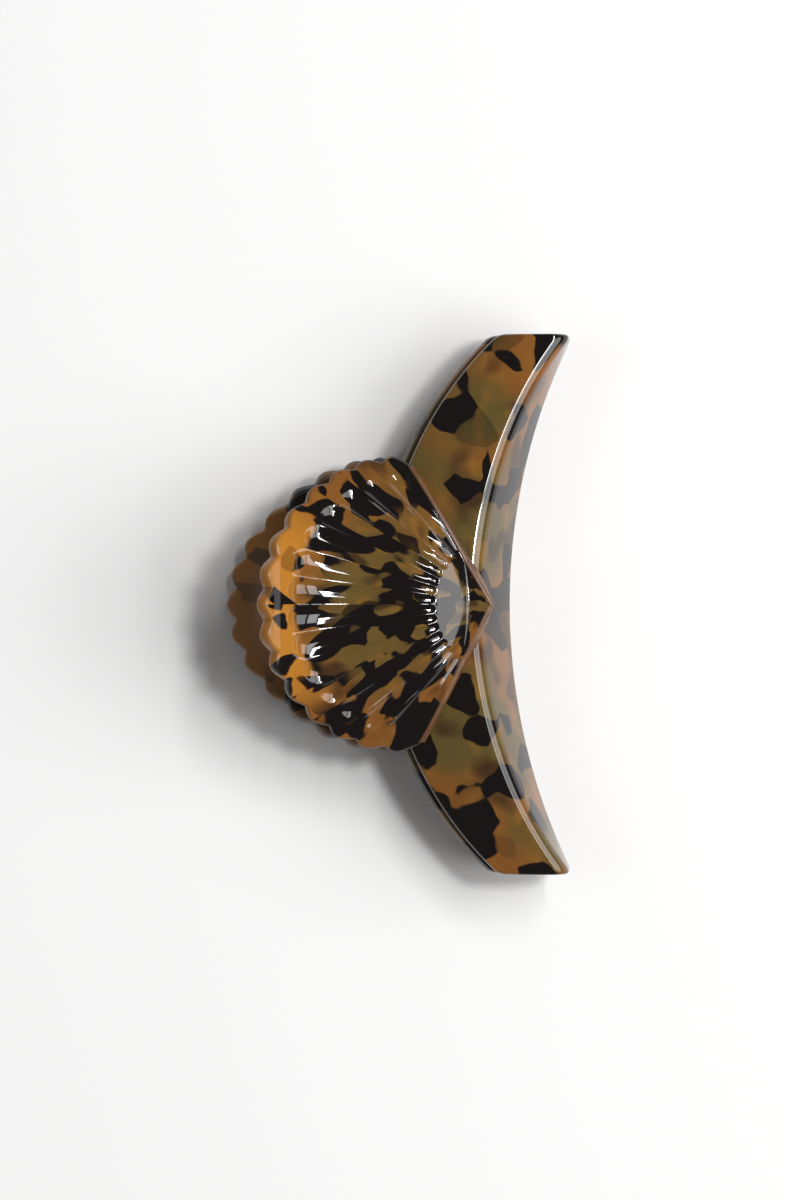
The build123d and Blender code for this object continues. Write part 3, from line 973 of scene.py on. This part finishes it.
coil_pitch = WIRE + COIL_GAP
under = plate_under(-LEG_REACH, COIL_HALF, WALL + WIRE / 2 + LEG_GAP)
leg_run = sqrt(under[0] ** 2 + under[2] ** 2 - COIL_RADIUS**2)
leg_rise = atan2(under[2], -under[0]) - atan2(COIL_RADIUS, leg_run)
leave = pi / 2 - leg_rise  # where the upper leg leaves the coil, as an angle about the pin
coil_turn = 2 * pi * COIL_TURNS + pi - 2 * leg_rise
coil_length = coil_pitch * coil_turn / (2 * pi)
turn = np.linspace(0, coil_turn, 60 * COIL_TURNS)
winding = np.stack([COIL_RADIUS * np.cos(leave - turn), -coil_length / 2 + coil_length * turn / coil_turn,
                    COIL_RADIUS * np.sin(leave - turn)], 1)
run = np.linspace(leg_run, 0, 24)[:-1]
upper_leg = winding[0] + run[:, None] * np.array([-cos(leg_rise), 0, sin(leg_rise)])
lower_leg = winding[-1] + run[::-1, None] * np.array([-cos(leg_rise), 0, -sin(leg_rise)])
wire_line = np.concatenate([upper_leg, winding, lower_leg])
spring = path_mesh("spring", [wire_line], [np.ones(len(wire_line))])
apply_tree(spring, sweep_rod, spring_finish)
outward(spring)
frame["nodes"]["hinge_pin"].data.materials.clear()
frame["nodes"]["hinge_pin"].data.materials.append(pin_finish)


# %% [markdown]
# The rest of the scene is a studio: a pale table, a small key light above and to the right, three larger
# panels and a narrow strip. Gloss shows what is around it, so the panels matter as much as the key. Angles
# are in degrees, distances and sizes in metres, and powers in watts.

# %% Table and lights
TABLE_RADIUS, TABLE_POINTS = 4.0, 96  # m
AIM = Vector((0, 0, 0.02))  # what every light points at


def table():
    mesh = bpy.data.meshes.new("table")
    turn = np.linspace(0, 2 * pi, TABLE_POINTS, endpoint=False)
    ring = [(TABLE_RADIUS * cos(a), TABLE_RADIUS * sin(a), 0.0) for a in turn]
    mesh.from_pydata(ring, [], [tuple(range(TABLE_POINTS))])
    top = bpy.data.objects.new("table", mesh)
    bpy.context.scene.collection.objects.link(top)
    white, _, shader = new_material("table_white")
    shader.inputs["Base Color"].default_value = (0.83, 0.825, 0.82, 1)
    shader.inputs["Roughness"].default_value = 0.6
    mesh.materials.append(white)


def panel(name, azimuth, from_vertical, distance, width, power):
    """A soft light; azimuth is its direction round the clip, and from_vertical how far it leans over."""
    light = bpy.data.lights.new(name, "AREA")
    light.shape, light.size, light.size_y, light.energy = "RECTANGLE", width[0], width[1], power
    lamp = bpy.data.objects.new(name, light)
    a, v = radians(azimuth), radians(from_vertical)
    way = Vector((sin(v) * cos(a), sin(v) * sin(a), cos(v)))
    long_side = (Vector((0, 1, 0)) - way * way.y).normalized()
    lamp.location = AIM + way * distance
    lamp.rotation_euler = Matrix((long_side.cross(way), long_side, way)).transposed().to_euler()
    bpy.context.scene.collection.objects.link(lamp)


table()
panel("key", 17, 19, 1.6, (0.16, 0.16), 9.5)
panel("window", 0, 28, 1.6, (0.28, 1.2), 6)
panel("fill_right", 0, 50, 1.6, (0.8, 1.2), 11)
panel("fill_left", 180, 32, 1.8, (0.3, 0.8), 2)
panel("strip_up", 48, 27, 1.6, (0.13, 0.55), 6)
world = bpy.data.worlds.new("studio")
bpy.context.scene.world = world
world.use_nodes = True
world.node_tree.nodes["Background"].inputs[0].default_value = (0.95, 0.97, 1.0, 1)
world.node_tree.nodes["Background"].inputs[1].default_value = 0.13
bpy.context.scene.view_settings.view_transform = "Standard"

# %% [markdown]
# The camera looks straight down on the clip through a long lens, so nothing is drawn out of shape.

# %% Camera
camera = bpy.data.cameras.new("camera")
camera.sensor_fit, camera.sensor_height = "VERTICAL", 36.0
camera.lens = 285.0
eye = bpy.data.objects.new("camera", camera)
eye.location = (-0.0001, 0.0008, 1.777)
bpy.context.scene.collection.objects.link(eye)
bpy.context.scene.camera = eye

# %% [markdown]
# Last, each piece is attached to its body, and the frame's node that it stands for is hidden, as is the
# frame's own spring. The spring is held by both halves in the clip, but here it is attached to neither,
# so it does not twist between them.

# %% Attach the pieces
for piece, node, body, finish in (
    (upper_plate, "upper_shell", "upper_half", "shell_tortoiseshell"),
    (lower_plate, "lower_shell", "lower_half", "shell_tortoiseshell"),
    (jaws[1], "upper_jaw", "upper_half", "tortoiseshell"),
    (jaws[-1], "lower_jaw", "lower_half", "tortoiseshell"),
):
    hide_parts(node)
    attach(piece, body)

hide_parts("torsion_spring")
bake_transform(spring)
